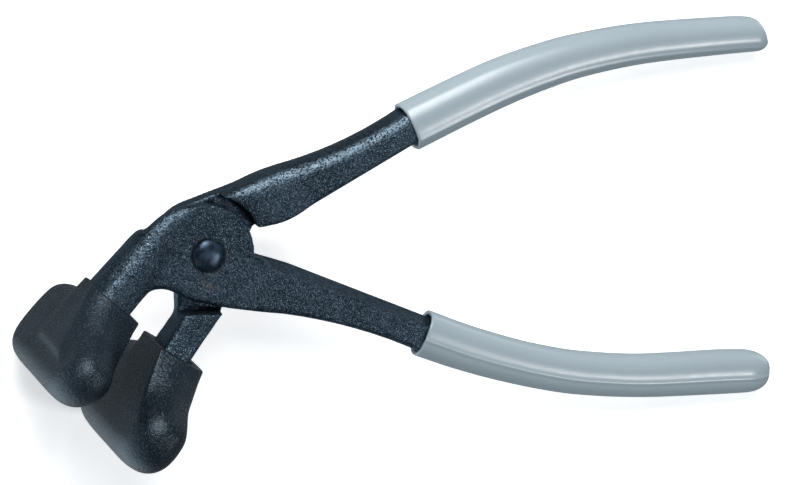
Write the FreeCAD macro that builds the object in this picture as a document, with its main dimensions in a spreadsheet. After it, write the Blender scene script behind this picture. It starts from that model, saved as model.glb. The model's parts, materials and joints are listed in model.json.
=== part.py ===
import FreeCAD, Part
import Sketcher
import math
import os

# Soft-jaw gripping pliers, 240 mm long, seven pieces.
# Every piece is drawn in the tool's own frame: the rivet stands on the origin, X runs between
# the two handles, and Z is the rivet's axis with the front half on top.  At the end the whole
# tool is laid down on the surface Z = 0, where it rests on its jaw boots and its handle ends.

V = FreeCAD.Vector
doc = FreeCAD.newDocument("soft_jaw_pliers")

DIMENSIONS = {
    # the forged halves
    "forging_thickness": 10.0,
    "lap_radius": 13.6,
    "lap_gap": 0.1,
    "shoulder_radius": 16.2,
    "forging_bevel": 1.0,
    # the rivet
    "rivet_radius": 3.5,
    "rivet_clearance": 0.05,
    "rivet_head_radius": 4.5,
    "rivet_head_height": 1.7,
    # the jaws: a direction each, then a flat T-shaped plate that lies along the rivet's axis
    "front_jaw_angle": 226.0,
    "rear_jaw_angle": 234.0,
    "front_jaw_face": 5.3,
    "rear_jaw_face": 4.6,
    "front_jaw_shift": 0.0,
    "rear_jaw_shift": 1.6,
    "rib_thickness": 10.2,
    "plate_thickness": 9.2,
    "rib_reach": 38.0,
    "plate_root_reach": 9.0,
    "plate_flare_reach": 30.8,
    "plate_wing_reach": 37.4,
    "plate_tip_reach": 51.6,
    "plate_root_half_width": 5.0,
    "plate_neck_half_width": 7.1,
    "plate_half_width": 28.0,
    # the boots
    "rubber": 2.2,
    "boot_rim_reach": 25.8,
    "boot_spine_reach": 41.0,
    "boot_edge_round": 4.5,
    "boot_spine_round": 2.6,
    # the handles: a straight stretch from the grip's mouth, one bend and a straight end
    "front_tang_half_width": 4.7,
    "rear_tang_half_width": 4.2,
    "tang_end_half_width": 3.6,
    "front_mouth_x": 64.4,
    "front_mouth_y": -30.0,
    "front_handle_angle": 21.5,
    "front_straight": 19.0,
    "front_bend_radius": 185.0,
    "front_bend_angle": 17.5,
    "front_end_length": 32.5,
    "rear_mouth_x": 60.0,
    "rear_mouth_y": 30.6,
    "rear_handle_angle": 22.0,
    "rear_straight": 21.0,
    "rear_bend_radius": 152.0,
    "rear_bend_angle": 20.5,
    "rear_end_length": 31.5,
    # the dipped grips
    "grip_half_width": 6.5,
    "grip_half_depth": 6.2,
    "grip_corner_round": 4.8,
    "grip_end_wall": 5.0,
    "grip_end_round": 4.0,
}

sheet = doc.addObject("Spreadsheet::Sheet", "Dims")
for row, (alias, value) in enumerate(DIMENSIONS.items(), start=1):
    sheet.set(f"A{row}", alias)
    sheet.set(f"B{row}", str(value))
    sheet.setAlias(f"B{row}", alias)
doc.recompute()


def dim(alias):
    return float(getattr(sheet, alias))


# ---------------------------------------------------------------- sketches and features


def origin_plane(body, role):
    return next(f for f in body.Origin.OriginFeatures if f.Role == role)


def new_sketch(body, name, curves, offset=None):
    """A sketch on the body's XY plane, moved by offset, that holds the given curves."""
    sketch = body.newObject("Sketcher::SketchObject", name)
    sketch.AttachmentSupport = (origin_plane(body, "XY_Plane"), [""])
    sketch.MapMode = "FlatFace"
    if offset:
        sketch.AttachmentOffset = offset
    sketch.addGeometry(curves, False)
    return sketch


def pad(body, name, sketch, length, midplane=False, reverse=False):
    feature = body.newObject("PartDesign::Pad", name)
    feature.Profile = sketch
    feature.setExpression("Length", length)
    feature.Midplane = midplane
    feature.Reversed = reverse
    doc.recompute()
    return feature


def pocket(body, name, sketch, length, midplane=False, reverse=False):
    """A pocket that must take material away."""
    before = body.Shape.Volume
    feature = body.newObject("PartDesign::Pocket", name)
    feature.Profile = sketch
    feature.setExpression("Length", length)
    feature.Midplane = midplane
    feature.Reversed = reverse
    doc.recompute()
    if body.Shape.Volume >= before - 1.0:
        raise RuntimeError(f"{name} cuts nothing")
    return feature


def edge_names(shape, wanted):
    return [f"Edge{i}" for i, edge in enumerate(shape.Edges, start=1) if wanted(edge)]


def round_edges(body, name, wanted, radius):
    base = body.Tip
    feature = body.newObject("PartDesign::Fillet", name)
    feature.Base = (base, edge_names(base.Shape, wanted))
    feature.setExpression("Radius", radius)
    doc.recompute()
    return feature


def bevel_edges(body, name, wanted, size):
    base = body.Tip
    feature = body.newObject("PartDesign::Chamfer", name)
    feature.Base = (base, edge_names(base.Shape, wanted))
    feature.setExpression("Size", size)
    doc.recompute()
    return feature


def middle(edge):
    return edge.valueAt((edge.FirstParameter + edge.LastParameter) / 2)


def in_plane(edge, axis, level):
    """True where the whole edge lies at one level along the axis."""
    ends = [vertex.Point.dot(axis) for vertex in edge.Vertexes] + [middle(edge).dot(axis)]
    return all(abs(end - level) < 1e-4 for end in ends)


# ---------------------------------------------------------------- outlines


def direction(degrees):
    angle = math.radians(degrees)
    return V(math.cos(angle), math.sin(angle), 0)


def line(a, b):
    return Part.LineSegment(a, b)


def arc(a, through, b):
    return Part.Arc(a, through, b)


def on_lap(degrees):
    return direction(degrees) * dim("lap_radius")


class Jaw:
    """Places along one jaw: reach from the rivet, and depth behind the line through the rivet."""

    def __init__(self, half, side):
        angle = dim(f"{half}_jaw_angle")
        self.along = direction(angle)
        self.behind = direction(angle - 90 * side)
        self.side = side
        self.face = dim(f"{half}_jaw_face")
        self.back = self.face + dim("rib_thickness")
        self.shift = dim(f"{half}_jaw_shift")

    def at(self, reach, depth):
        return self.along * (reach + self.shift) + self.behind * depth

    def plane(self, depth):
        """Carries a sketch's X to the reach and its Y to the rivet's axis, at this depth."""
        normal = self.along.cross(V(0, 0, 1))
        turn = FreeCAD.Rotation(self.along, V(0, 0, 1), normal, "XYZ")
        return FreeCAD.Placement(self.at(0, depth), turn)

    def section(self, reach, depth):
        """Carries a sketch's X to the rivet's axis and its Y to the jaw's back, at this reach."""
        normal = V(0, 0, 1).cross(self.behind)
        turn = FreeCAD.Rotation(V(0, 0, 1), self.behind, normal, "XYZ")
        return FreeCAD.Placement(self.at(reach, depth), turn)


# The front jaw's back looks away from the rear jaw, and the rear jaw's back away from the front.
front_jaw = Jaw("front", 1)
rear_jaw = Jaw("rear", -1)


class Handle:
    """The centre line of one handle from the grip's mouth, as a line, an arc and a line."""

    def __init__(self, half, turn):
        self.tang_half_width = dim(f"{half}_tang_half_width")
        self.mouth = V(dim(f"{half}_mouth_x"), dim(f"{half}_mouth_y"), 0)
        self.turn = turn
        self.start_angle = -turn * dim(f"{half}_handle_angle")
        self.bend_angle = dim(f"{half}_bend_angle")
        self.end_angle = self.start_angle + turn * self.bend_angle
        self.radius = dim(f"{half}_bend_radius")
        self.bend_start = self.mouth + direction(self.start_angle) * dim(f"{half}_straight")
        self.centre = self.bend_start + direction(self.start_angle + 90 * turn) * self.radius
        self.bend_end = self.on_bend(self.end_angle, 0)
        self.end = self.bend_end + direction(self.end_angle) * dim(f"{half}_end_length")

    def on_bend(self, angle, left):
        """A point of the bend where the handle runs at this angle, left of the centre line."""
        return self.centre + direction(angle - 90 * self.turn) * (self.radius - self.turn * left)

    def beside(self, point, angle, left):
        return point + direction(angle + 90) * left

    def side(self, left, end_left):
        """The three curves of one side, from the mouth to the end."""
        middle_angle = (self.start_angle + self.end_angle) / 2
        start = self.beside(self.mouth, self.start_angle, left)
        bend = self.beside(self.bend_start, self.start_angle, left)
        half_way = self.on_bend(middle_angle, (left + end_left) / 2)
        out = self.beside(self.bend_end, self.end_angle, end_left)
        end = self.beside(self.end, self.end_angle, end_left)
        return [line(start, bend), arc(bend, half_way, out), line(out, end)]

    def path(self):
        return self.side(0, 0)

    def tang(self):
        """The tang inside the grip, round at its end, from its right side to its left."""
        wide = self.tang_half_width
        thin = dim("tang_end_half_width")
        right = self.side(-wide, -thin)
        left = self.side(wide, thin)
        tip = self.end + direction(self.end_angle) * thin
        cap = arc(right[-1].EndPoint, tip, left[-1].EndPoint)
        back = [reverse_curve(curve) for curve in reversed(left)]
        return right + [cap] + back


def reverse_curve(curve):
    if isinstance(curve, Part.LineSegment):
        return line(curve.EndPoint, curve.StartPoint)
    half_way = curve.value((curve.FirstParameter + curve.LastParameter) / 2)
    return arc(curve.EndPoint, half_way, curve.StartPoint)


front_handle = Handle("front", 1)
rear_handle = Handle("rear", -1)


def front_outline():
    """The front half seen from the front: lap, upper jaw, lower edge, lower handle."""
    jaw = front_jaw
    face, back = jaw.face, jaw.back
    jaw_end = dim("rib_reach")
    tang = front_handle.tang()
    lap_start, lap_end = on_lap(-8), on_lap(96)
    back_start = jaw.at(5, back)
    face_start = jaw.at(19, face)
    crotch = on_lap(233)
    lap_low = on_lap(252)
    arm_low = V(22, -19.2, 0)
    arm_top = V(25, -6.3, 0)
    return [
        arc(lap_start, on_lap(44), lap_end),
        arc(lap_end, V(-8.6, 11.5, 0), back_start),
        line(back_start, jaw.at(jaw_end, back)),
        line(jaw.at(jaw_end, back), jaw.at(jaw_end, face)),
        line(jaw.at(jaw_end, face), face_start),
        arc(face_start, jaw.at(15.8, 3.4), crotch),
        arc(crotch, on_lap(242), lap_low),
        arc(lap_low, V(8, -16.4, 0), arm_low),
        arc(arm_low, V(42, -25.1, 0), tang[0].StartPoint),
    ] + tang + [
        line(tang[-1].EndPoint, arm_top),
        arc(arm_top, V(19.5, -4.2, 0), lap_start),
    ]


def rear_outline():
    """The rear half seen from the front: upper handle, lap, lower jaw."""
    jaw = rear_jaw
    face, back = jaw.face, jaw.back
    jaw_end = dim("rib_reach")
    tang = rear_handle.tang()
    lap_right, lap_top, lap_left = on_lap(12), on_lap(107), on_lap(240)
    arm_root = V(15.2, 6.2, 0)
    arm_low = V(28.0, 9.9, 0)
    arm_top = V(22.8, 21.2, 0)
    face_start = jaw.at(17, face)
    back_start = jaw.at(10, back)
    return [
        line(lap_right, arm_root),
        arc(arm_root, V(21.5, 7.0, 0), arm_low),
        line(arm_low, tang[0].StartPoint),
    ] + tang + [
        arc(tang[-1].EndPoint, V(40, 25.9, 0), arm_top),
        line(arm_top, lap_top),
        arc(lap_top, on_lap(175), lap_left),
        line(lap_left, face_start),
        line(face_start, jaw.at(jaw_end, face)),
        line(jaw.at(jaw_end, face), jaw.at(jaw_end, back)),
        line(jaw.at(jaw_end, back), back_start),
        arc(back_start, on_lap(-55) * 1.12, on_lap(-38)),
        arc(on_lap(-38), on_lap(-13), lap_right),
    ]


def plate_outline(grow, start):
    """The T of a jaw in reach and width, grown all round by the rubber's thickness."""
    neck = dim("plate_neck_half_width") + grow
    root = neck if grow else dim("plate_root_half_width")
    wing = dim("plate_half_width") + grow
    shoulder = dim("plate_wing_reach") - grow
    tip = dim("plate_tip_reach") + grow
    half = [
        V(start, root, 0),
        V(dim("plate_flare_reach") - 0.8 * grow, neck, 0),
        V(shoulder, wing - 3.4 - 0.6 * grow, 0),
        V(shoulder + 1.5 + 0.2 * grow, wing - 1.1 - 0.1 * grow, 0),
        V(shoulder + 4.6 + 0.7 * grow, wing, 0),
        V(tip - 2.6, wing - 2.5, 0),
        V(tip, wing - 8.6, 0),
    ]
    other = [mirror_y(point) for point in half]
    return [
        line(other[0], other[1]),
        line(other[1], other[2]),
        arc(other[2], other[3], other[4]),
        arc(other[4], other[5], other[6]),
        line(other[6], half[6]),
        arc(half[6], half[5], half[4]),
        arc(half[4], half[3], half[2]),
        line(half[2], half[1]),
        line(half[1], half[0]),
        line(half[0], other[0]),
    ]


def closed(corners):
    """Straight sides from corner to corner and back to the first."""
    return [line(a, b) for a, b in zip(corners, corners[1:] + corners[:1])]


def rectangle(near, far, half_width):
    return closed([V(near, -half_width, 0), V(far, -half_width, 0), V(far, half_width, 0),
                   V(near, half_width, 0)])


def mirror_y(point):
    return V(point.x, -point.y, point.z)


# ---------------------------------------------------------------- the pieces


def forged_half(name, outline, jaw, handle, front):
    """One forging: slab, T-shaped jaw plate, half lap, rivet bore and bevelled handle."""
    body = doc.addObject("PartDesign::Body", name)
    body.Label = name
    slab = pad(body, f"{name}_slab", new_sketch(body, f"{name}_outline", outline),
               "Dims.forging_thickness", midplane=True)
    level = dim("forging_thickness") / 2
    start = dim("shoulder_radius") + 4
    stop = handle.bend_start.x + 3

    def on_handle(edge):
        ends = [vertex.Point for vertex in edge.Vertexes]
        flat = in_plane(edge, V(0, 0, 1), level) or in_plane(edge, V(0, 0, 1), -level)
        return flat and all(start < end.x < stop for end in ends)

    bevel_edges(body, f"{name}_bevel", on_handle, "Dims.forging_bevel")

    plate = new_sketch(body, f"{name}_plate_outline",
                       plate_outline(0, dim("plate_root_reach")), jaw.plane(jaw.face))
    pad(body, f"{name}_plate", plate, "Dims.plate_thickness", reverse=(jaw.side < 0))

    # half of the thickness goes, so that the other half's lap can turn there
    seat = FreeCAD.Placement(V(0, 0, dim("lap_gap") / 2 * (1 if front else -1)), FreeCAD.Rotation())
    clearing = round_sketch(body, f"{name}_lap_outline", "Dims.shoulder_radius", seat)
    clearing.setExpression("AttachmentOffset.Base.z", f"Dims.lap_gap / 2 * {1 if front else -1}")
    pocket(body, f"{name}_lap", clearing, "Dims.forging_thickness", reverse=not front)

    # the heel of the lower jaw passes under the lower handle, on each side of the lap
    heel = new_sketch(body, f"{name}_heel_outline", heel_clearance(front), seat)
    pocket(body, f"{name}_heel", heel, "Dims.forging_thickness", reverse=not front)

    # the rivet is set tight in the front half and the rear half turns on it
    fit = "Dims.rivet_radius" if front else "Dims.rivet_radius + Dims.rivet_clearance"
    bore = round_sketch(body, f"{name}_bore_outline", fit)
    pocket(body, f"{name}_bore", bore, "Dims.forging_thickness * 2", midplane=True)
    return body


def round_sketch(body, name, radius, offset=None):
    """A circle round the rivet's axis, its radius bound to the sheet."""
    size = dim("shoulder_radius")
    circle = Part.Circle(V(0, 0, 0), V(0, 0, 1), size)
    sketch = new_sketch(body, name, [circle], offset)
    sketch.addConstraint(Sketcher.Constraint("Radius", 0, size))
    sketch.setExpression("Constraints[0]", radius)
    return sketch


def heel_clearance(front):
    """Four sides round the ground that the other half's heel sweeps."""
    if front:
        corners = [V(-2, -13, 0), V(-2, -24, 0), V(12.5, -24, 0), V(14.5, -12, 0)]
    else:
        corners = [V(-13, -8, 0), V(-7.5, -16.3, 0), V(11, -17.5, 0), V(15, -8, 0)]
    return closed(corners)


def jaw_boot(name, jaw):
    """A moulded rubber boot that hugs the T of one jaw, with a spine behind, open at the neck."""
    body = doc.addObject("PartDesign::Body", name)
    body.Label = name
    backward = jaw.side < 0
    rubber = dim("rubber")
    rim = dim("boot_rim_reach")
    outer_face = jaw.plane(jaw.face - rubber)
    wings = new_sketch(body, f"{name}_outline", plate_outline(rubber, rim), outer_face)
    pad(body, f"{name}_wings", wings, "Dims.plate_thickness + 2 * Dims.rubber", reverse=backward)

    def reaches(edge):
        points = [vertex.Point for vertex in edge.Vertexes] + [middle(edge)]
        return [point.dot(jaw.along) - jaw.shift for point in points]

    def beyond_rim(edge):
        return max(reaches(edge)) > rim + 0.5

    round_edges(body, f"{name}_round", beyond_rim, "Dims.boot_edge_round")

    neck = dim("plate_neck_half_width") + rubber
    depth = dim("rib_thickness") / 2
    spine = new_sketch(body, f"{name}_spine_section",
                       rounded_rectangle(neck, depth + rubber, dim("boot_spine_round")),
                       jaw.section(rim, jaw.face + depth))
    pad(body, f"{name}_spine", spine, "Dims.boot_spine_reach - Dims.boot_rim_reach",
        reverse=backward)

    inner_face = jaw.plane(jaw.face)
    hollow = new_sketch(body, f"{name}_hollow_outline",
                        plate_outline(0, dim("plate_root_reach")), inner_face)
    pocket(body, f"{name}_hollow", hollow, "Dims.plate_thickness", reverse=not backward)
    slot = rectangle(rim - 1, dim("rib_reach"), dim("forging_thickness") / 2)
    rib = new_sketch(body, f"{name}_rib_outline", slot, inner_face)
    pocket(body, f"{name}_rib_hollow", rib, "Dims.rib_thickness", reverse=not backward)
    return body


def dipped_grip(name, handle):
    """A dipped vinyl sleeve over one tang, closed and rounded at its far end."""
    body = doc.addObject("PartDesign::Body", name)
    body.Label = name
    path = handle.path()
    outward = direction(handle.end_angle)
    far_end = handle.end + outward * dim("grip_end_wall")
    path[-1] = line(path[-1].StartPoint, far_end)
    spine = new_sketch(body, f"{name}_path", path)

    along = direction(handle.start_angle)
    turn = FreeCAD.Rotation(direction(handle.start_angle + 90), V(0, 0, 1), along, "XYZ")
    section = new_sketch(body, f"{name}_section", rounded_rectangle(
        dim("grip_half_width"), dim("grip_half_depth"), dim("grip_corner_round")),
        FreeCAD.Placement(handle.mouth, turn))
    sleeve = body.newObject("PartDesign::AdditivePipe", f"{name}_sleeve")
    sleeve.Profile = section
    sleeve.Spine = spine
    sleeve.Mode = "Frenet"
    doc.recompute()

    def at_end(edge):
        ends = [vertex.Point for vertex in edge.Vertexes]
        return all(abs((end - far_end).dot(outward)) < 0.01 for end in ends)

    round_edges(body, f"{name}_round", at_end, "Dims.grip_end_round")

    tang = handle.tang()
    mouth_side = line(tang[-1].EndPoint, tang[0].StartPoint)
    hollow = new_sketch(body, f"{name}_hollow_outline", tang + [mouth_side])
    pocket(body, f"{name}_hollow", hollow, "Dims.forging_thickness", midplane=True)
    return body


def rounded_rectangle(half_width, half_height, radius):
    """Four straight sides and four quarter arcs round the sketch's origin."""
    x, y = half_width - radius, half_height - radius
    slant = radius * math.sqrt(0.5)
    curves = []
    for sx, sy in ((1, 1), (-1, 1), (-1, -1), (1, -1)):
        side_point = V(sx * half_width, sy * y, 0)
        top_point = V(sx * x, sy * half_height, 0)
        corner = V(sx * (x + slant), sy * (y + slant), 0)
        first, last = (side_point, top_point) if sx * sy > 0 else (top_point, side_point)
        curves.append(arc(first, corner, last))
    ends = [(curve.StartPoint, curve.EndPoint) for curve in curves]
    sides = [line(ends[i][1], ends[(i + 1) % 4][0]) for i in range(4)]
    return [curve for pair in zip(curves, sides) for curve in pair]


def rivet():
    """The pivot: a round shank set up into a low dome at each end."""
    body = doc.addObject("PartDesign::Body", "pivot_rivet")
    body.Label = "pivot_rivet"
    shank = dim("rivet_radius")
    head = dim("rivet_head_radius")
    rise = dim("rivet_head_height")
    seat = dim("forging_thickness") / 2
    under = seat + dim("lap_gap") / 2
    ball = (head ** 2 + rise ** 2) / (2 * rise)
    bulge = V(head * 0.5, seat + rise - ball + math.sqrt(ball ** 2 - (head * 0.5) ** 2), 0)
    low_bulge = V(bulge.x, -bulge.y - dim("lap_gap") / 2, 0)
    profile = [
        line(V(0, -under - rise, 0), V(0, seat + rise, 0)),
        arc(V(0, seat + rise, 0), bulge, V(head, seat, 0)),
        line(V(head, seat, 0), V(shank, seat, 0)),
        line(V(shank, seat, 0), V(shank, -under, 0)),
        line(V(shank, -under, 0), V(head, -under, 0)),
        arc(V(head, -under, 0), low_bulge, V(0, -under - rise, 0)),
    ]
    upright = FreeCAD.Placement(V(0, 0, 0), FreeCAD.Rotation(V(1, 0, 0), 90))
    sketch = new_sketch(body, "rivet_profile", profile, upright)
    turned = body.newObject("PartDesign::Revolution", "rivet_turned")
    turned.Profile = sketch
    turned.ReferenceAxis = (sketch, ["V_Axis"])
    turned.Angle = 360
    doc.recompute()
    return body


levers = [forged_half("front_lever", front_outline(), front_jaw, front_handle, True),
          forged_half("rear_lever", rear_outline(), rear_jaw, rear_handle, False)]
boots = [jaw_boot("front_jaw_boot", front_jaw), jaw_boot("rear_jaw_boot", rear_jaw)]
grips = [dipped_grip("front_grip", front_handle), dipped_grip("rear_grip", rear_handle)]
pieces = levers + [rivet()] + boots + grips

# ---------------------------------------------------------------- lying on a surface


def box_of(group, placement):
    """The box round a group of pieces when each is moved by this placement."""
    whole = Part.makeCompound([piece.Shape for piece in group])
    return whole.transformGeometry(placement.toMatrix()).optimalBoundingBox(False)


def lying_turn():
    """The tilt, about the cross axis, at which the boots and the grips reach equally low."""
    low, high = 3.0, 9.0
    for _ in range(12):
        tilt = (low + high) / 2
        turn = FreeCAD.Placement(V(0, 0, 0), FreeCAD.Rotation(V(0, 1, 0), tilt))
        if box_of(boots, turn).ZMin < box_of(grips, turn).ZMin:
            low = tilt
        else:
            high = tilt
    return turn


turn = lying_turn()
box = box_of(pieces, turn)
foot = V((box.XMin + box.XMax) / 2, (box.YMin + box.YMax) / 2, box.ZMin)
for piece in pieces:
    piece.Placement = FreeCAD.Placement(foot * -1, turn.Rotation)
doc.recompute()

# ---------------------------------------------------------------- checks and files

for item in doc.Objects:
    if {"Invalid", "Error"} & set(item.State):
        raise RuntimeError(f"{item.Label}: {item.State}")
for piece in pieces:
    shape = piece.Shape
    if shape.isNull() or not shape.isValid() or len(shape.Solids) != 1:
        raise RuntimeError(f"{piece.Label} is not one valid solid")

os.makedirs("parts", exist_ok=True)
for piece in pieces:
    piece.Shape.exportStep(f"parts/{piece.Label}.step")
    print(piece.Label, round(piece.Shape.Volume), "mm3")
print("tilt", turn.Rotation.Angle * 180 / math.pi, "pivot", foot * -1)
print("box", box.XLength, box.YLength, box.ZLength)
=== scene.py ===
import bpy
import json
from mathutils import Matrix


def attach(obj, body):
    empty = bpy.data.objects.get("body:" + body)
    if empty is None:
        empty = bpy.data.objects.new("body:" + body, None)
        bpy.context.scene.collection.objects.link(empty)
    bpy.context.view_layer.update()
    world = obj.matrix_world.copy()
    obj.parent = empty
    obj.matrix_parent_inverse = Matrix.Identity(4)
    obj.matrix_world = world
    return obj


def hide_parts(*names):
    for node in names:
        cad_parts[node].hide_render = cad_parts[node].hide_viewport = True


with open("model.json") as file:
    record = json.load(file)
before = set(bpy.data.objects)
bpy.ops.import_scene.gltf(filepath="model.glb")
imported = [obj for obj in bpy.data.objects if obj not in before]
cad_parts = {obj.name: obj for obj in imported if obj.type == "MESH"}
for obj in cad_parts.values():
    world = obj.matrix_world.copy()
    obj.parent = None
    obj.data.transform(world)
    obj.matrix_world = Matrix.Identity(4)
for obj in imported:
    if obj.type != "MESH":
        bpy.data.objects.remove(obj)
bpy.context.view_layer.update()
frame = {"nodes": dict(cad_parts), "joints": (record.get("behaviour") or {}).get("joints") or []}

import json
import math

import bmesh
import bpy
import numpy as np
import openvdb
from mathutils import Matrix, Vector

# ---------------------------------------------------------------- the two forged levers
# Each half is one drop forging in carbon steel: a jaw, a flat half lap and a handle.  The dies
# leave broad soft corners and a pebbled skin, and the whole forging is blackened and oiled.
# The laps are milled flat where they turn on each other.

rivet_joint = frame["joints"][0]
turn_axis = Vector(rivet_joint["axis"])
up_tool = Vector((0, 1, 0))
across = up_tool.cross(turn_axis)
# The tool's own frame in millimetres: X between the handles, Y to the upper handle, Z out of
# the rivet's head towards the front.
to_row = (Matrix.Translation(Vector(rivet_joint["pos_m"]))
          @ Matrix((across, up_tool, turn_axis)).transposed().to_4x4()
          @ Matrix.Scale(0.001, 4))
to_tool = to_row.inverted()

FORGING_GRID = 0.45
FORGING_ROUNDING = 340
ARM_MIDDLE = 4.05
LAP_HALF_THICKNESS = 5.0
# the whole rivet, shank and domes, stands this far off the hinge's axis
RIVET_SHIFT = Vector((0.55, -0.35, 0.0))
RUST_PLACE = Vector((0.5, -8.0, LAP_HALF_THICKNESS))
# how far along each jaw its boot begins
BOOT_RIM = 25.8


def smooth_step(low, high, value):
    share = min(max((value - low) / (high - low), 0.0), 1.0)
    return share * share * (3 - 2 * share)


def placed(name, data):
    """A new object in the scene."""
    made = bpy.data.objects.new(name, data)
    bpy.context.scene.collection.objects.link(made)
    return made


def piece_of(name, shape):
    """A new piece from a shape that is then done with."""
    mesh = bpy.data.meshes.new(name)
    shape.to_mesh(mesh)
    shape.free()
    return placed(name, mesh)


def tool_copy(name, node):
    """A new piece with a CAD node's shape, in the tool's own frame and in millimetres."""
    mesh = frame["nodes"][node].data.copy()
    mesh.transform(to_tool)
    mesh.materials.clear()
    return placed(name, mesh)


def applied(piece):
    """Fixes a piece's modifiers into its mesh."""
    bpy.context.view_layer.update()
    seen = piece.evaluated_get(bpy.context.evaluated_depsgraph_get())
    mesh = bpy.data.meshes.new_from_object(seen)
    piece.modifiers.clear()
    piece.data = mesh
    return piece


def even_skin(piece, grid):
    """Rebuilds a piece's surface from small even faces."""
    remesh = piece.modifiers.new("skin", "REMESH")
    remesh.mode = "VOXEL"
    remesh.voxel_size = grid
    return applied(piece)


def relax(piece, rounds, weight):
    """Rounds a piece's corners; weight gives how much at each place, from 0 to 1."""
    smooth = piece.modifiers.new("relax", "SMOOTH")
    smooth.factor = 0.5
    smooth.iterations = rounds
    group = piece.vertex_groups.new(name="soft")
    for vertex in piece.data.vertices:
        group.add([vertex.index], weight(vertex.co), "REPLACE")
    smooth.vertex_group = "soft"
    applied(piece)
    piece.vertex_groups.clear()


def finish_off(piece, finish, body, nodes):
    """Puts a piece in its place on its body with its finish."""
    piece.data.transform(to_row)
    piece.data.materials.clear()
    piece.data.materials.append(finish)
    for face in piece.data.polygons:
        face.use_smooth = True
    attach(piece, body)
    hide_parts(*nodes)


class Finish:
    """A value somewhere in a finish.  Arithmetic on it adds the Math nodes that work it out."""

    def __init__(self, tree, socket=None):
        self.tree = tree
        self.socket = socket

    def node(self, kind, settings, sockets, out=0):
        made = self.tree.nodes.new(kind)
        for name, value in settings.items():
            setattr(made, name, value)
        for name, value in sockets.items():
            if isinstance(value, Finish):
                self.tree.links.new(value.socket, made.inputs[name])
            else:
                made.inputs[name].default_value = value
        return Finish(self.tree, made.outputs[out])

    def math(self, operation, *values):
        return self.node("ShaderNodeMath", {"operation": operation}, dict(enumerate(values)))

    def __add__(self, other):
        return self.math("ADD", self, other)

    def __sub__(self, other):
        return self.math("SUBTRACT", self, other)

    def __rsub__(self, other):
        return self.math("SUBTRACT", other, self)

    def __mul__(self, other):
        return self.math("MULTIPLY", self, other)

    __radd__ = __add__
    __rmul__ = __mul__

    def between(self, low, high):
        """0 below low, 1 above high and smooth in between."""
        return self.node("ShaderNodeMapRange", {"interpolation_type": "SMOOTHSTEP"},
                         {"Value": self, "From Min": low, "From Max": high})

    def speckle(self, place, scale, detail=2.0):
        """Soft noise over the surface, finer as its scale grows."""
        return self.node("ShaderNodeTexNoise", {},
                         {"Vector": place, "Scale": scale, "Detail": detail}, "Fac")

    def mixed(self, share, first, second):
        return self.node("ShaderNodeMix", {"data_type": "RGBA"},
                         {0: share, 6: first, 7: second}, 2)

    def bumped(self, height, depth, under=None):
        sockets = {"Height": height, "Distance": depth, "Strength": 1.0}
        if under:
            sockets["Normal"] = under
        return self.node("ShaderNodeBump", {}, sockets)


def new_finish(name, **even):
    """A material with its shader's even values set, and the start of its arithmetic."""
    material = bpy.data.materials.new(name)
    material.use_nodes = True
    shader = material.node_tree.nodes["Principled BSDF"]
    for socket, value in even.items():
        shader.inputs[socket.replace("_", " ")].default_value = value
    start = Finish(material.node_tree)
    place = start.node("ShaderNodeTexCoord", {}, {}, "Object")
    return material, shader, start, place


def driven(shader, **varying):
    """Links what changes over the surface to the shader."""
    for socket, value in varying.items():
        value.tree.links.new(value.socket, shader.inputs[socket.replace("_", " ")])


def forged_skin(name, rust_place, dome_place):
    """Blackened forging: pebbled and blue-black, with a little rust by the rivet.

    The rolled edges are painted paler as a painted highlight, with more pale flecks there.
    """
    material, shader, start, place = new_finish(name, Metallic=0.8, Specular_IOR_Level=0.3,
                                                Specular_Tint=(0.8, 0.92, 1.0, 1))
    pebbles = start.speckle(place, 1500.0, 3.0)
    dents = start.speckle(place, 420.0, 2.0)
    cloud = start.speckle(place, 60.0, 2.0)
    grain = start.speckle(place, 3400.0, 1.0)
    tone = pebbles.between(0.38, 0.66) * 0.6 + cloud.between(0.35, 0.7) * 0.4
    black = start.mixed(tone, (0.007, 0.013, 0.020, 1), (0.036, 0.057, 0.079, 1))
    # painted highlight: the rolled edges are painted paler and get more pale flecks
    edge_highlight = start.node("ShaderNodeAttribute", {"attribute_name": "edge_highlight"}, {}, "Fac")
    highlighted_edges = start.mixed(edge_highlight * 0.55 * pebbles.between(0.40, 0.56), black,
                          (0.17, 0.225, 0.27, 1))
    flecks_and_edge_highlight = grain.between(0.58, 0.68) * (edge_highlight * 0.3 + 0.6)
    scuffed_and_highlighted = start.mixed(flecks_and_edge_highlight, highlighted_edges, (0.22, 0.30, 0.37, 1))
    near = start.node("ShaderNodeVectorMath", {"operation": "DISTANCE"},
                      {0: place, 1: rust_place}, "Value")
    rust = (1 - near.between(0.0012, 0.0042)) * start.speckle(place, 900.0).between(0.52, 0.62)
    rusted = start.mixed(rust * 0.5, scuffed_and_highlighted, (0.10, 0.075, 0.06, 1))
    # painted shade: a near-black ring on the face round the dome's foot stands for the shade in
    # that crevice
    from_dome = start.node("ShaderNodeVectorMath", {"operation": "DISTANCE"},
                           {0: place, 1: dome_place}, "Value")
    painted_seam_shade = 1 - from_dome.between(0.0046, 0.0054)
    driven(shader,
           Base_Color=start.mixed(painted_seam_shade * 0.85, rusted, (0.003, 0.004, 0.006, 1)),
           Roughness=0.24 + pebbles * 0.20,
           Normal=start.bumped(pebbles * 0.7 + grain * 0.3, 0.00034,
                               start.bumped(dents, 0.00036)))
    return material


class JawFrame:
    """Reach along a jaw, width along the rivet's axis and depth away from the gripping line."""

    def __init__(self, angle, back_angle, shift, face):
        self.along = Vector((math.cos(math.radians(angle)), math.sin(math.radians(angle)), 0))
        self.behind = Vector((math.cos(math.radians(back_angle)),
                              math.sin(math.radians(back_angle)), 0))
        self.shift = shift
        self.face = face

    def place(self, reach, width, depth):
        point = self.along * (reach + self.shift) + self.behind * depth
        point.z = width
        return point


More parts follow.
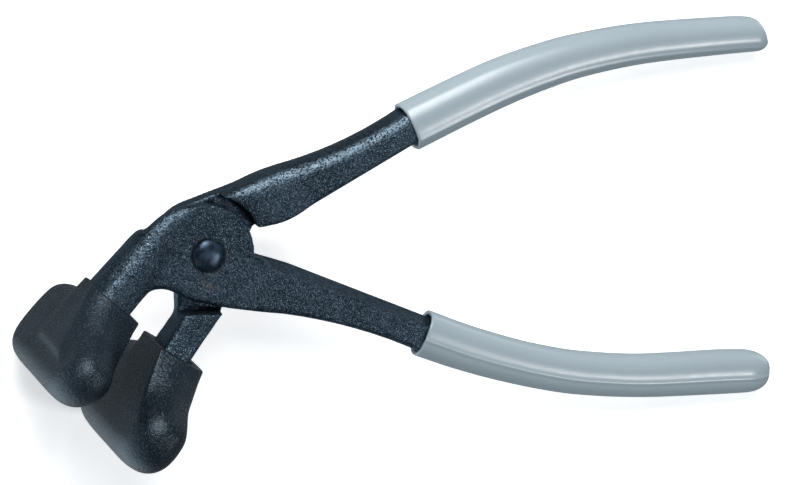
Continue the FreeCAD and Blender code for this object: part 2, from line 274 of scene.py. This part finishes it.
front_jaw = JawFrame(226.0, 136.0, 0.0, 5.3)
rear_jaw = JawFrame(234.0, 324.0, 1.6, 4.6)


def above_arm(place):
    """Height above the middle line of the upper handle's steel arm."""
    return 0.9165 * place.y - 0.400 * place.x - ARM_MIDDLE


def front_softness(place):
    """The jaw's neck is well rounded, the lap's edge crisp and the handle's edges between."""
    from_rivet = math.hypot(place.x, place.y)
    neck = smooth_step(8.0, 14.0, from_rivet) * smooth_step(-2.0, -8.0, place.x)
    back = smooth_step(3.0, 9.0, place.y - place.x * 0.9 - 4.0)
    arm = smooth_step(15.0, 20.0, from_rivet) * smooth_step(6.0, 12.0, place.x)
    return min(0.004 + 0.06 * arm + neck * (0.17 + 0.43 * back), 1.0)


def rear_softness(place):
    """The handle's upper front edge is rolled over, and the seat round the lap stays crisp."""
    from_rivet = math.hypot(place.x, place.y)
    arm = smooth_step(15.4, 20.0, from_rivet) * smooth_step(2.0, 9.0, place.x + place.y * 0.4)
    upper = smooth_step(-4.0, 0.0, above_arm(place)) * smooth_step(-4.5, -1.5, place.z)
    neck = smooth_step(15.0, 20.0, from_rivet) * smooth_step(0.0, -6.0, place.y)
    return min(0.004 + arm * (0.05 + 0.95 * upper) + 0.30 * neck, 1.0)


def front_fullness(place):
    """How far the neck's back stands out before it is rounded."""
    neck = smooth_step(9.0, 15.0, math.hypot(place.x, place.y)) * smooth_step(-2.0, -8.0, place.x)
    return 2.1 * neck * smooth_step(3.0, 9.0, place.y - place.x * 0.9 - 4.0)


def rear_fullness(place):
    """How far the upper handle's arm stands out before it is rounded."""
    from_rivet = math.hypot(place.x, place.y)
    arm = smooth_step(17.0, 28.0, from_rivet) * smooth_step(2.0, 9.0, place.x + place.y * 0.4)
    above = above_arm(place)
    return 0.7 * arm * smooth_step(0.0, 3.0, above) + 0.25 * arm * smooth_step(0.0, -3.0, above)


def swell(piece, fullness):
    """Makes a forging fuller, by as much as its rounding takes away again."""
    moved = [vertex.co + vertex.normal * fullness(vertex.co) for vertex in piece.data.vertices]
    for vertex, place in zip(piece.data.vertices, moved):
        vertex.co = place


GROOVE_DEPTH = 0.45
LIP_HEIGHT = 0.40
SIDE_LEAN = 1.3


def draft_and_flash(piece, share):
    """Leans a forging's sides outwards to the rear and leaves the trimmed line of its flash."""
    moved = []
    for vertex in piece.data.vertices:
        here = vertex.co
        side = vertex.normal.copy()
        side.z = 0
        amount = share(here, vertex.normal)
        if amount > 0 and side.length > 0.6:
            groove = -GROOVE_DEPTH * math.exp(-((here.z - 0.3) / 0.75) ** 2)
            lip = LIP_HEIGHT * math.exp(-((here.z + 1.6) / 0.8) ** 2)
            lean = -SIDE_LEAN * smooth_step(-0.5, 4.6, here.z)
            moved.append((vertex.index, side.normalized() * amount * (groove + lip + lean)))
    for index, move in moved:
        piece.data.vertices[index].co += move


def front_sides(here, normal):
    """The upper side of the lower handle between the lap and the grip."""
    from_rivet = math.hypot(here.x, here.y)
    return (smooth_step(16.5, 19.5, from_rivet) * smooth_step(12.0, 16.0, here.x)
            * smooth_step(0.2, 0.6, normal.y))


def rear_sides(here, normal):
    """The right side of the lower jaw's neck below the lap."""
    from_rivet = math.hypot(here.x, here.y)
    return (smooth_step(16.5, 19.0, from_rivet) * smooth_step(-6.0, -10.0, here.y)
            * smooth_step(0.2, 0.6, normal.x))


PLATE_MIDDLE = 4.4
PLATE_NARROWED = 0.30
PLATE_THINNED = 0.42


def slim_plate(piece, jaw):
    """Draws in the plate that the rubber hides, so that the boot covers all its corners."""
    for vertex in piece.data.vertices:
        here = vertex.co
        hidden = smooth_step(BOOT_RIM + 0.8, BOOT_RIM + 4.5, here.dot(jaw.along) - jaw.shift)
        depth = here.dot(jaw.behind) - jaw.face - PLATE_MIDDLE
        here.z *= 1 - PLATE_NARROWED * hidden
        vertex.co = here - jaw.behind * depth * PLATE_THINNED * hidden


def forged_lever(name, node, body, softness, fullness, sides, jaw):
    """One forging, which keeps how far each place was rolled over for its painted edge highlight.
    """
    piece = even_skin(tool_copy(name, node), FORGING_GRID)
    draft_and_flash(piece, sides)
    swell(piece, fullness)
    sharp = [vertex.co.copy() for vertex in piece.data.vertices]
    relax(piece, FORGING_ROUNDING, softness)
    # how far each place was rolled over sets its painted edge highlight, stronger on the handle
    edge_highlight = piece.data.attributes.new("edge_highlight", "FLOAT", "POINT")
    for vertex, before in zip(piece.data.vertices, sharp):
        rolled = (before - vertex.co).dot(vertex.normal)
        on_handle = 0.4 + 0.6 * smooth_step(0.0, 10.0, vertex.co.x)
        edge_highlight.data[vertex.index].value = smooth_step(0.25, 1.3, rolled) * on_handle
    slim_plate(piece, jaw)
    dome_foot = RIVET_SHIFT + Vector((0, 0, LAP_HALF_THICKNESS))
    skin = forged_skin(f"{name}_blackened_steel", to_row @ RUST_PLACE, to_row @ dome_foot)
    finish_off(piece, skin, body, [node])


forged_lever("front_forging", "front_lever", "front_half", front_softness, front_fullness,
             front_sides, front_jaw)
forged_lever("rear_forging", "rear_lever", "rear_half", rear_softness, rear_fullness,
             rear_sides, rear_jaw)

# ---------------------------------------------------------------- the rivet
# One steel rivet holds the laps together.  Its ends are set up into low polished domes; a painted
# shade ring darkens the forging's face round the front dome's foot.

DOME_RADIUS = 4.5
DOME_RISE = 1.6
DOME_SINK = 0.05
DOME_STEPS = 12
SHANK_RADIUS = 3.45


def turned(name, profile, sides=72):
    """A solid turned about the rivet's axis from a profile of radius and height."""
    shape = bmesh.new()
    rings = []
    for radius, height in profile:
        if radius == 0:
            rings.append([shape.verts.new((0, 0, height))])
            continue
        angles = [2 * math.pi * side / sides for side in range(sides)]
        rings.append([shape.verts.new((radius * math.cos(a), radius * math.sin(a), height))
                      for a in angles])
    for low, high in zip(rings, rings[1:]):
        for side in range(sides):
            after = (side + 1) % sides
            if len(low) == 1:
                shape.faces.new((low[0], high[after], high[side]))
            elif len(high) == 1:
                shape.faces.new((low[side], low[after], high[0]))
            else:
                shape.faces.new((low[side], low[after], high[after], high[side]))
    bmesh.ops.recalc_face_normals(shape, faces=shape.faces)
    return piece_of(name, shape)


def dome_profile():
    """One dome from its foot to its crown, with a tight rolled edge at the foot."""
    places = []
    for step in range(DOME_STEPS + 1):
        angle = math.pi / 2 * step / DOME_STEPS
        radius = DOME_RADIUS * math.cos(angle) ** 0.8 if step < DOME_STEPS else 0
        places.append((radius, DOME_RISE * math.sin(angle) ** 1.1))
    return places


def rivet_profile():
    """The rear dome, the shank and the front dome."""
    seat = LAP_HALF_THICKNESS - DOME_SINK
    front = [(radius, LAP_HALF_THICKNESS + rise - DOME_SINK) for radius, rise in dome_profile()]
    rear = [(radius, -height) for radius, height in reversed(front)]
    return rear + [(SHANK_RADIUS, -seat), (SHANK_RADIUS, seat)] + front


rivet_piece = turned("rivet_with_domes", rivet_profile())
for vertex in rivet_piece.data.vertices:
    vertex.co += RIVET_SHIFT


def polished_dome():
    material, shader, start, place = new_finish("rivet_polished_steel", Metallic=0.75)
    smudges = start.speckle(place, 500.0, 3.0)
    scratches = start.speckle(place, 2600.0, 2.0)
    driven(shader,
           Base_Color=start.mixed(smudges.between(0.35, 0.65),
                                  (0.012, 0.023, 0.038, 1), (0.034, 0.056, 0.086, 1)),
           Roughness=0.20 + smudges * 0.24,
           Normal=start.bumped(scratches, 0.00004))
    return material


finish_off(rivet_piece, polished_dome(), "front_half", ["pivot_rivet"])

# ---------------------------------------------------------------- the rubber jaw boots
# Each T-shaped jaw is pushed into a thick moulded boot of black rubber, flat where it grips and
# full and round everywhere else.  A spine runs down its back over the jaw's rib.  The boot is
# open at the neck, where its rim is cut square.

BOOT_GRID = 0.42
BOOT_BACK = 11.6
SPINE_BACK = 12.8
SPINE_HALF_WIDTH = 9.3
SPINE_NEAR_FLARE = 0.55
SPINE_END = 44.0
SPINE_ROUND = 6.0
SPINE_BLEND = 4.0
GRIP_COVER = 2.2
MOUTH_REACH = 2.5
GRIP_SIDE_ROUND = 7.4
BACK_NEAR_ROUND = 6.2
BACK_FAR_ROUND = 5.0
BOOT_OUTLINE = [
    (20.0, 9.0), (25.8, 9.8), (28.4, 12.4), (31.0, 15.8), (34.2, 19.4), (36.8, 24.2),
    (39.2, 28.2), (42.2, 30.4), (46.5, 30.6), (50.8, 28.6), (53.8, 24.6), (55.0, 19.5),
    (55.4, 0.0), (55.8, -19.5), (55.0, -25.4), (51.6, -29.2), (46.0, -30.9), (38.0, -30.9),
    (32.4, -28.9), (30.2, -24.0), (29.2, -16.6), (27.8, -11.4), (25.8, -9.4), (20.0, -9.0),
]


def cut_corners(points, rounds):
    """A closed outline with its corners cut again and again until it is smooth."""
    for _ in range(rounds):
        softer = []
        for here, after in zip(points, points[1:] + points[:1]):
            softer.append(tuple(0.75 * p + 0.25 * q for p, q in zip(here, after)))
            softer.append(tuple(0.25 * p + 0.75 * q for p, q in zip(here, after)))
        points = softer
    return points


def inside_distance(outline, x, y):
    """Distance to the outline over a grid of places, positive inside it."""
    nearest = np.full(x.shape, 1e9)
    inside = np.zeros(x.shape, bool)
    for (x0, y0), (x1, y1) in zip(outline, outline[1:] + outline[:1]):
        dx, dy = x1 - x0, y1 - y0
        share = np.clip(((x - x0) * dx + (y - y0) * dy) / (dx * dx + dy * dy), 0, 1)
        nearest = np.minimum(nearest, np.hypot(x - x0 - share * dx, y - y0 - share * dy))
        if y0 != y1:
            crossing = (y0 > y) != (y1 > y)
            inside ^= crossing & (x < (x1 - x0) * (y - y0) / (y1 - y0) + x0)
    return np.where(inside, nearest, -nearest)


def soft_union(a, b, blend):
    """Both shapes together, with the corner between them filled over the blend's width."""
    share = np.clip(0.5 + 0.5 * (b - a) / blend, 0, 1)
    return b * (1 - share) + a * share - blend * share * (1 - share)


def round_box(across_x, across_y, half_x, half_y, radius):
    """Distance outside a long box with rounded corners."""
    out_x = np.abs(across_x) - half_x + radius
    out_y = np.abs(across_y) - half_y + radius
    outside = np.hypot(np.maximum(out_x, 0), np.maximum(out_y, 0))
    return outside + np.minimum(np.maximum(out_x, out_y), 0) - radius


def boot_field(reach, width, depth, face, longer, thicker):
    """How far each place is outside the boot's rubber, negative within it."""
    grip = face - GRIP_COVER
    outline = [(far + longer * smooth_step(40.0, 52.0, far), side) for far, side in BOOT_OUTLINE]
    from_edge = inside_distance(cut_corners(outline, 3), reach[:, :, 0], width[:, :, 0])
    from_edge = from_edge[:, :, None]
    centre = grip + GRIP_SIDE_ROUND
    back = face + BOOT_BACK + thicker
    back_round = np.interp(width, (-26.0, -8.0), (BACK_FAR_ROUND, BACK_NEAR_ROUND))
    back_centre = back - back_round
    on_grip_side = np.where(
        from_edge < GRIP_SIDE_ROUND,
        np.hypot(GRIP_SIDE_ROUND - from_edge, depth - centre) - GRIP_SIDE_ROUND,
        grip - depth)
    on_back_side = np.where(
        from_edge < back_round,
        np.hypot(back_round - from_edge, depth - back_centre) - back_round,
        depth - back)
    wings = np.where(depth < centre, on_grip_side,
                     np.where(depth > back_centre, on_back_side, -from_edge))
    # the spine is deeper than the boot so that only its back corners are rounded
    spine_back = face + SPINE_BACK - 0.10 * np.maximum(reach - 34.0, 0.0)
    wider = SPINE_NEAR_FLARE * np.maximum(reach - BOOT_RIM, 0.0)
    spine = round_box(width - wider / 2, depth - spine_back + 20.0,
                      SPINE_HALF_WIDTH + wider / 2, 20.0, SPINE_ROUND)
    spine = np.maximum(np.maximum(spine, reach - SPINE_END), grip - depth)
    # the blend would bulge the gripping face, so it is cut flat again
    rubber = np.maximum(soft_union(wings, spine, SPINE_BLEND), grip - depth)
    rubber = np.maximum(rubber, BOOT_RIM - reach)
    neck = np.maximum(np.abs(width) - 7.3, np.abs(depth - face - 4.6) - 4.8)
    rib = np.maximum(np.abs(width) - 5.25, np.abs(depth - face - 5.1) - 5.35)
    mouth = np.maximum(np.minimum(neck, rib), reach - BOOT_RIM - MOUTH_REACH)
    return np.maximum(rubber, -mouth)


def skin_of(name, field, low, grid, place):
    """A piece whose surface is where the field changes sign."""
    volume = openvdb.FloatGrid(3.0)
    volume.copyFromArray(field.astype(np.float32))
    corners, faces = volume.convertToQuads(0.0)
    points = [place(*(low[axis] + corner[axis] * grid for axis in range(3)))
              for corner in corners.astype(float)]
    mesh = bpy.data.meshes.new(name)
    mesh.from_pydata(points, [], [[int(index) for index in face] for face in faces])
    shape = bmesh.new()
    shape.from_mesh(mesh)
    bmesh.ops.recalc_face_normals(shape, faces=shape.faces)
    shape.to_mesh(mesh)
    shape.free()
    return placed(name, mesh)


def moulded_rubber():
    material, shader, start, place = new_finish("black_rubber", Specular_IOR_Level=0.42,
                                                Specular_Tint=(0.70, 0.87, 1.0, 1))
    grain = start.speckle(place, 2600.0, 2.0)
    skin = start.speckle(place, 1000.0, 2.0)
    cloud = start.speckle(place, 45.0, 2.0)
    flecks = grain.between(0.54, 0.66) * 0.5
    black = start.mixed(cloud.between(0.3, 0.7), (0.003, 0.005, 0.007, 1), (0.007, 0.011, 0.016, 1))
    driven(shader,
           Base_Color=start.mixed(flecks, black, (0.040, 0.060, 0.078, 1)),
           Roughness=0.19 + grain * 0.14,
           Normal=start.bumped(grain, 0.00018, start.bumped(skin, 0.00020)))
    return material


def rubber_boot(name, node, body, jaw, finish, longer=0.0, thicker=0.0):
    """One boot, softened everywhere but at its square rim."""
    low = (24.0, -35.0, 0.0)
    high = (60.0, 35.0, 21.0)
    steps = [np.arange(low[axis], high[axis], BOOT_GRID) for axis in range(3)]
    reach, width, depth = np.meshgrid(*steps, indexing="ij")
    field = boot_field(reach, width, depth, jaw.face, longer, thicker)
    piece = skin_of(name, field, low, BOOT_GRID, jaw.place)

    def weight(point):
        from_rim = point.dot(jaw.along) - jaw.shift - BOOT_RIM
        return 0.15 + 0.85 * smooth_step(0.6, 3.0, from_rim)

    relax(piece, 12, weight)
    finish_off(piece, finish, body, [node])


black_rubber = moulded_rubber()
rubber_boot("front_boot", "front_jaw_boot", "front_half", front_jaw, black_rubber)
rubber_boot("rear_boot", "rear_jaw_boot", "rear_half", rear_jaw, black_rubber, 2.0, 0.8)

# ---------------------------------------------------------------- the dipped grips
# The handles are dipped in light grey vinyl, which sets as a smooth, half-glossy sleeve.  The
# tang's edges show through as soft ridges, and the mouth ends in a thin pale lip.

GRIP_SIDES = 96
GRIP_HALF_DEPTH = 6.2
GRIP_WALL = 1.25
MOUTH_DEPTH = 5.0


def smooth_line(points, count):
    """Evenly spaced places on a smooth curve through the points."""
    knots = [Vector(point) for point in points]
    knots = [knots[0] * 2 - knots[1]] + knots + [knots[-1] * 2 - knots[-2]]
    fine = []
    for before, here, after, last in zip(knots, knots[1:], knots[2:], knots[3:]):
        for step in range(24):
            t = step / 24
            fine.append(0.5 * (2 * here + (after - before) * t
                               + (2 * before - 5 * here + 4 * after - last) * t ** 2
                               + (3 * here - before - 3 * after + last) * t ** 3))
    fine.append(knots[-2])
    lengths = [0.0]
    for here, after in zip(fine, fine[1:]):
        lengths.append(lengths[-1] + (after - here).length)
    wanted = np.linspace(0, lengths[-1], count)
    columns = [np.interp(wanted, lengths, [point[axis] for point in fine]) for axis in range(3)]
    return [Vector(place) for place in zip(*columns)], wanted


def section_place(angle, half_width, half_depth, squareness, ridges):
    """A place on the sleeve's section: X to the handle's left, Y out of the front face."""
    c, s = math.cos(angle), math.sin(angle)
    radius = (abs(c / half_width) ** squareness + abs(s / half_depth) ** squareness) ** (
        -1 / squareness)
    for at, height, spread in ridges:
        away = math.degrees(angle) - at
        radius += height * math.exp(-(away / spread) ** 2)
    return radius * c, radius * s


def sleeve(name, line_points, half_widths, squareness, end_round, end_slope, mouth_slope,
           ridges):
    """A dipped sleeve swept along a handle, open at its mouth and closed at its end."""
    line, lengths = smooth_line(line_points, 110)
    total = lengths[-1]
    shape = bmesh.new()

    def ring(index, grow=0.0, scale=1.0, slide=0.0):
        here = line[index]
        ahead = (line[min(index + 1, len(line) - 1)] - line[max(index - 1, 0)]).normalized()
        left = Vector((-ahead.y, ahead.x, 0))
        front = Vector((0, 0, 1))
        half_width = np.interp(lengths[index] / total, *zip(*half_widths))
        made = []
        for side in range(GRIP_SIDES):
            angle = 2 * math.pi * side / GRIP_SIDES
            x, y = section_place(angle, half_width + grow, GRIP_HALF_DEPTH + grow, squareness,
                                 ridges)
            lean = (mouth_slope * y * (1 - smooth_step(0, 12, lengths[index]))
                    - end_slope * (x + half_width) * smooth_step(total - 9, total - 2,
                                                                 lengths[index]))
            made.append(shape.verts.new(here + ahead * (slide + lean)
                                        + (left * x + front * y) * scale))
        return made

    rings = [ring(0, -GRIP_WALL, 1.0, MOUTH_DEPTH), ring(0, -GRIP_WALL, 1.0, 0.35),
             ring(0, -GRIP_WALL + 0.3, 1.0, 0.0), ring(0, -0.25, 1.0, -0.05),
             ring(0, -0.05, 1.0, 0.15), ring(0, 0.0, 1.0, 0.45)]
    for index in range(1, len(line)):
        to_end = total - lengths[index]
        if to_end < end_round:
            break
        rings.append(ring(index))
    last = index - 1
    for step in range(1, 13):
        angle = math.pi / 2 * step / 12.5
        rings.append(ring(last, 0.0, math.cos(angle) ** 0.66, end_round * math.sin(angle)))
    for low, high in zip(rings, rings[1:]):
        for side in range(GRIP_SIDES):
            after = (side + 1) % GRIP_SIDES
            shape.faces.new((low[side], low[after], high[after], high[side]))
    shape.faces.new(rings[0])
    shape.faces.new(rings[-1])
    bmesh.ops.recalc_face_normals(shape, faces=shape.faces)
    return piece_of(name, shape)


def dipped_vinyl():
    material, shader, start, place = new_finish("grey_vinyl", Specular_IOR_Level=0.70)
    cloud = start.speckle(place, 22.0, 1.0)
    orange_peel = start.speckle(place, 420.0, 2.0)
    driven(shader,
           Base_Color=start.mixed(cloud.between(0.2, 0.8),
                                  (0.252, 0.304, 0.333, 1), (0.270, 0.325, 0.354, 1)),
           Roughness=0.25 + orange_peel * 0.10,
           Normal=start.bumped(orange_peel, 0.00003))
    return material


grey_vinyl = dipped_vinyl()
front_sleeve = sleeve(
    "front_dipped_grip",
    [(64.2, -29.6, 0), (76.0, -34.8, 0), (88.4, -39.5, 0), (100.9, -43.5, 0),
     (113.7, -46.6, 0), (133.0, -49.4, 0), (159.3, -51.0, 0), (175.8, -52.2, 0)],
    [(0.0, 6.7), (0.3, 6.3), (0.6, 6.2), (0.85, 6.5), (1.0, 6.1)],
    2.6, 8.5, 0.12, -0.12, [(97, 0.28, 5.0)])
rear_sleeve = sleeve(
    "rear_dipped_grip",
    [(59.8, 30.2, 0), (75.6, 36.6, 0), (87.6, 41.1, 0), (99.7, 44.7, 0),
     (112.0, 47.4, 0), (130.6, 49.6, 0), (156.0, 50.4, 0), (171.0, 50.3, 0)],
    [(0.0, 7.0), (0.25, 6.8), (0.5, 6.1), (0.75, 5.6), (0.9, 5.3), (1.0, 4.9)],
    2.35, 4.0, 0.32, 0.05, [(122, 0.25, 5.0)])
finish_off(front_sleeve, grey_vinyl, "front_half", ["front_grip"])
finish_off(rear_sleeve, grey_vinyl, "rear_half", ["rear_grip"])

# ---------------------------------------------------------------- floor, light and camera
# The tool lies on a plain pale table top under large soft lamps, seen from above its jaws.

FLOOR_HALF = 1.6

floor_shape = bmesh.new()
bmesh.ops.create_grid(floor_shape, x_segments=8, y_segments=8, size=FLOOR_HALF)
floor = piece_of("table_top", floor_shape)
floor.data.materials.append(new_finish(
    "pale_table", Base_Color=(0.93, 0.93, 0.93, 1), Roughness=0.9, Specular_IOR_Level=0.1,
    Emission_Color=(1.0, 1.0, 1.0, 1), Emission_Strength=0.52)[0])
# seen in the black rubber, the bright floor would turn it grey
floor.visible_glossy = False

world = bpy.data.worlds.new("studio")
world.use_nodes = True
sky = world.node_tree.nodes["Background"]
sky.inputs["Strength"].default_value = 1.0
sky_start = Finish(world.node_tree)
sky_place = sky_start.node("ShaderNodeTexCoord", {}, {}, "Generated")
sky_tone = (0.165, 0.188, 0.210, 1)
# two white cards beside the tool: towards them, where they begin and end, and how bright
for towards, edge, middle, glow in [((-0.74, -0.56, -0.37), 0.55, 1.0, (1.6, 1.9, 2.1, 1)),
                                    ((0.87, 0.40, -0.30), 0.92, 0.99, (1.3, 1.45, 1.6, 1))]:
    card = (to_row.to_3x3() @ Vector(towards)).normalized()
    facing = sky_start.node("ShaderNodeVectorMath", {"operation": "DOT_PRODUCT"},
                            {0: sky_place, 1: card}, "Value")
    sky_tone = sky_start.mixed(facing.between(edge, middle), sky_tone, glow)
world.node_tree.links.new(sky_tone.socket, sky.inputs["Color"])
bpy.context.scene.world = world


LAMP_DISTANCE = 1.0


def lamp(name, towards, size, power):
    """A soft lamp that looks at the rivet from this direction of the tool's frame."""
    data = bpy.data.lights.new(name, "AREA")
    data.shape = "RECTANGLE"
    data.size, data.size_y = size
    data.energy = power
    made = placed(name, data)
    direction = (to_row.to_3x3() @ Vector(towards)).normalized()
    made.location = to_row.translation + direction * LAMP_DISTANCE
    made.rotation_euler = direction.to_track_quat("Z", "Y").to_euler()


lamp("overhead_lamp", (-0.10, 0.77, 0.64), (0.45, 0.90), 14.0)
lamp("front_lamp", (0.55, -0.30, 0.78), (0.16, 0.16), 2.3)

view_right = Vector((0.97559, 0.0, 0.21962))
view_up = Vector((0.05289, 0.97057, -0.23494))
view_back = Vector((-0.21315, 0.24082, 0.94688))
camera_data = bpy.data.cameras.new("camera")
camera_data.lens = 115.8
camera_data.sensor_width = 36.0
camera_data.clip_start = 0.05
camera = placed("camera", camera_data)
camera.matrix_world = (Matrix.Translation((-0.1587, 0.1730, 0.7090))
                       @ Matrix((view_right, view_up, view_back)).transposed().to_4x4())
bpy.context.scene.camera = camera
bpy.context.scene.view_settings.view_transform = "Standard"
